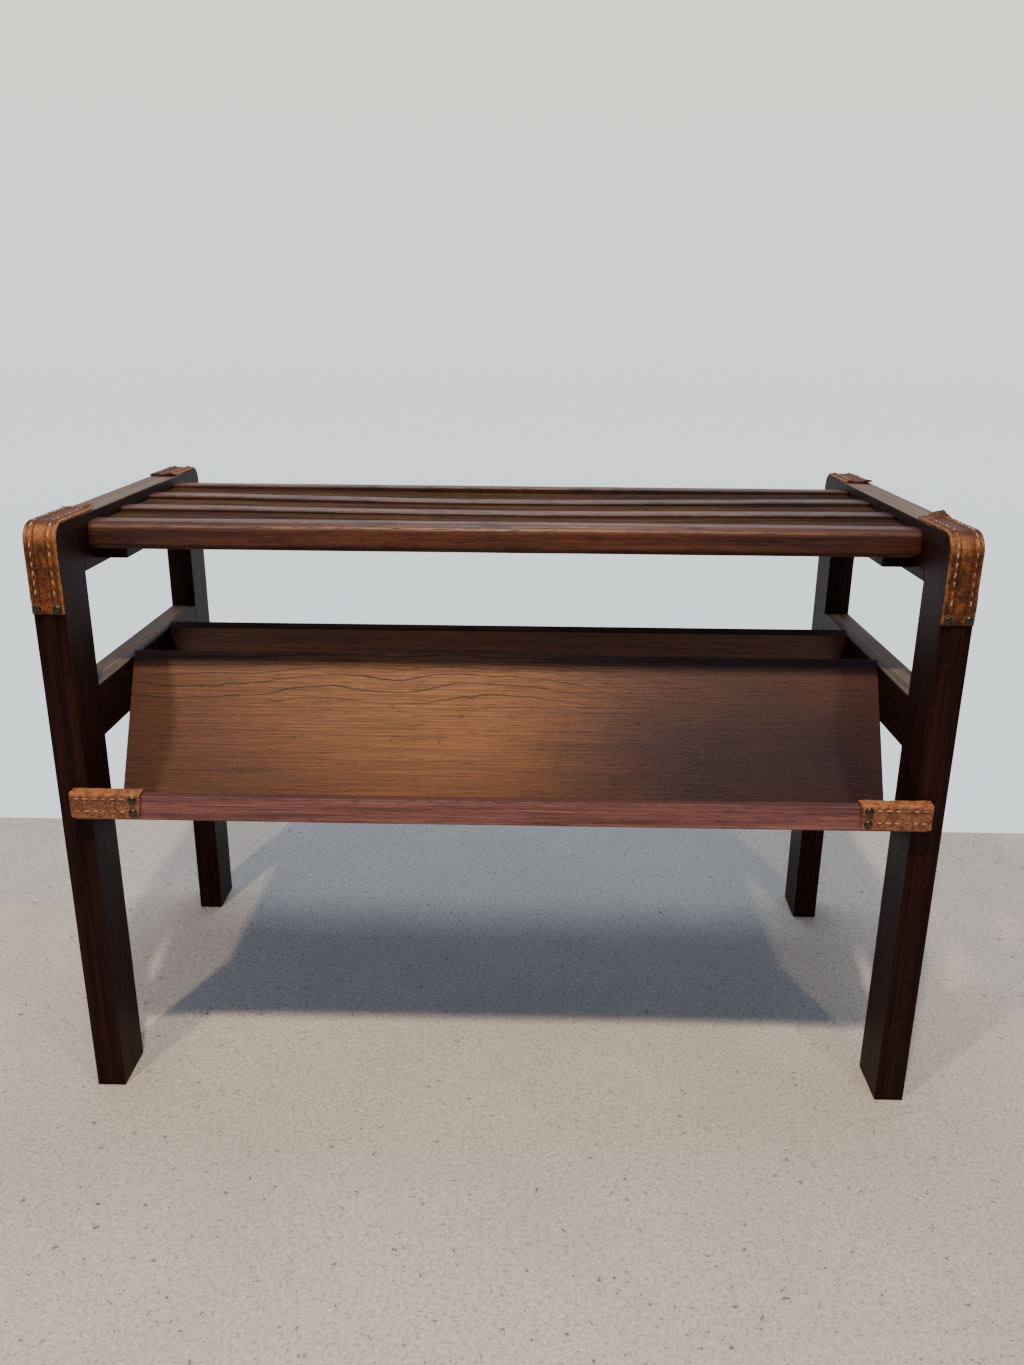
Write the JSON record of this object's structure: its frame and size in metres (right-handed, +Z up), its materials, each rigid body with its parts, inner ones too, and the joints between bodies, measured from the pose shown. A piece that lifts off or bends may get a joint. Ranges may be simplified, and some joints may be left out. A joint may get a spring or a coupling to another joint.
{
  "type": "luggage rack",
  "caption": "Rigid hardwood luggage rack with leather-capped corners, a slatted top and sloping paper troughs at front and back",
  "frame": {"origin": "on the floor, under the middle of the rack", "axes": "+X runs along the rack to the right, +Y from the front to the back, +Z up"},
  "size_m": [0.75, 0.402, 0.5295],
  "materials": {
    "frame_wood": "dark polished hardwood",
    "top_wood": "worn polished hardwood",
    "panel_wood": "satin hardwood with fine grain",
    "rail_wood": "satin hardwood",
    "leather": "tan saddle leather, worn, cream stitching",
    "tack_metal": "darkened domed tack head",
    "screw_brass": "countersunk slotted screw"
  },
  "bodies": {
    "root": {"left_front_leg": "frame_wood", "left_rear_leg": "frame_wood", "left_top_rail": "frame_wood", "left_middle_rail": "frame_wood", "right_front_leg": "frame_wood", "right_rear_leg": "frame_wood", "right_top_rail": "frame_wood", "right_middle_rail": "frame_wood", "top_front_bar": "top_wood", "top_rear_bar": "top_wood", "top_middle_bar_1": "top_wood", "top_middle_bar_2": "top_wood", "top_board_1": "top_wood", "top_board_2": "top_wood", "top_board_3": "top_wood", "left_batten": "top_wood", "right_batten": "top_wood", "front_panel": "panel_wood", "rear_panel": "panel_wood", "front_ledge": "panel_wood", "rear_ledge": "panel_wood", "front_rail": "rail_wood", "rear_rail": "rail_wood", "left_front_corner_cap": "leather", "left_front_corner_tack_1": "tack_metal", "left_front_corner_tack_2": "tack_metal", "front_rail_cap_left": "leather", "front_rail_tack_left_1": "tack_metal", "front_rail_tack_left_2": "tack_metal", "front_rail_screw_left": "screw_brass", "left_rear_corner_cap": "leather", "left_rear_corner_tack_1": "tack_metal", "left_rear_corner_tack_2": "tack_metal", "rear_rail_cap_left": "leather", "rear_rail_tack_left_1": "tack_metal", "rear_rail_tack_left_2": "tack_metal", "rear_rail_screw_left": "screw_brass", "left_batten_screw_1": "screw_brass", "left_batten_screw_2": "screw_brass", "left_batten_screw_3": "screw_brass", "right_front_corner_cap": "leather", "right_front_corner_tack_1": "tack_metal", "right_front_corner_tack_2": "tack_metal", "front_rail_cap_right": "leather", "front_rail_tack_right_1": "tack_metal", "front_rail_tack_right_2": "tack_metal", "front_rail_screw_right": "screw_brass", "right_rear_corner_cap": "leather", "right_rear_corner_tack_1": "tack_metal", "right_rear_corner_tack_2": "tack_metal", "rear_rail_cap_right": "leather", "rear_rail_tack_right_1": "tack_metal", "rear_rail_tack_right_2": "tack_metal", "rear_rail_screw_right": "screw_brass", "right_batten_screw_1": "screw_brass", "right_batten_screw_2": "screw_brass", "right_batten_screw_3": "screw_brass"}
  },
  "joints": []
}
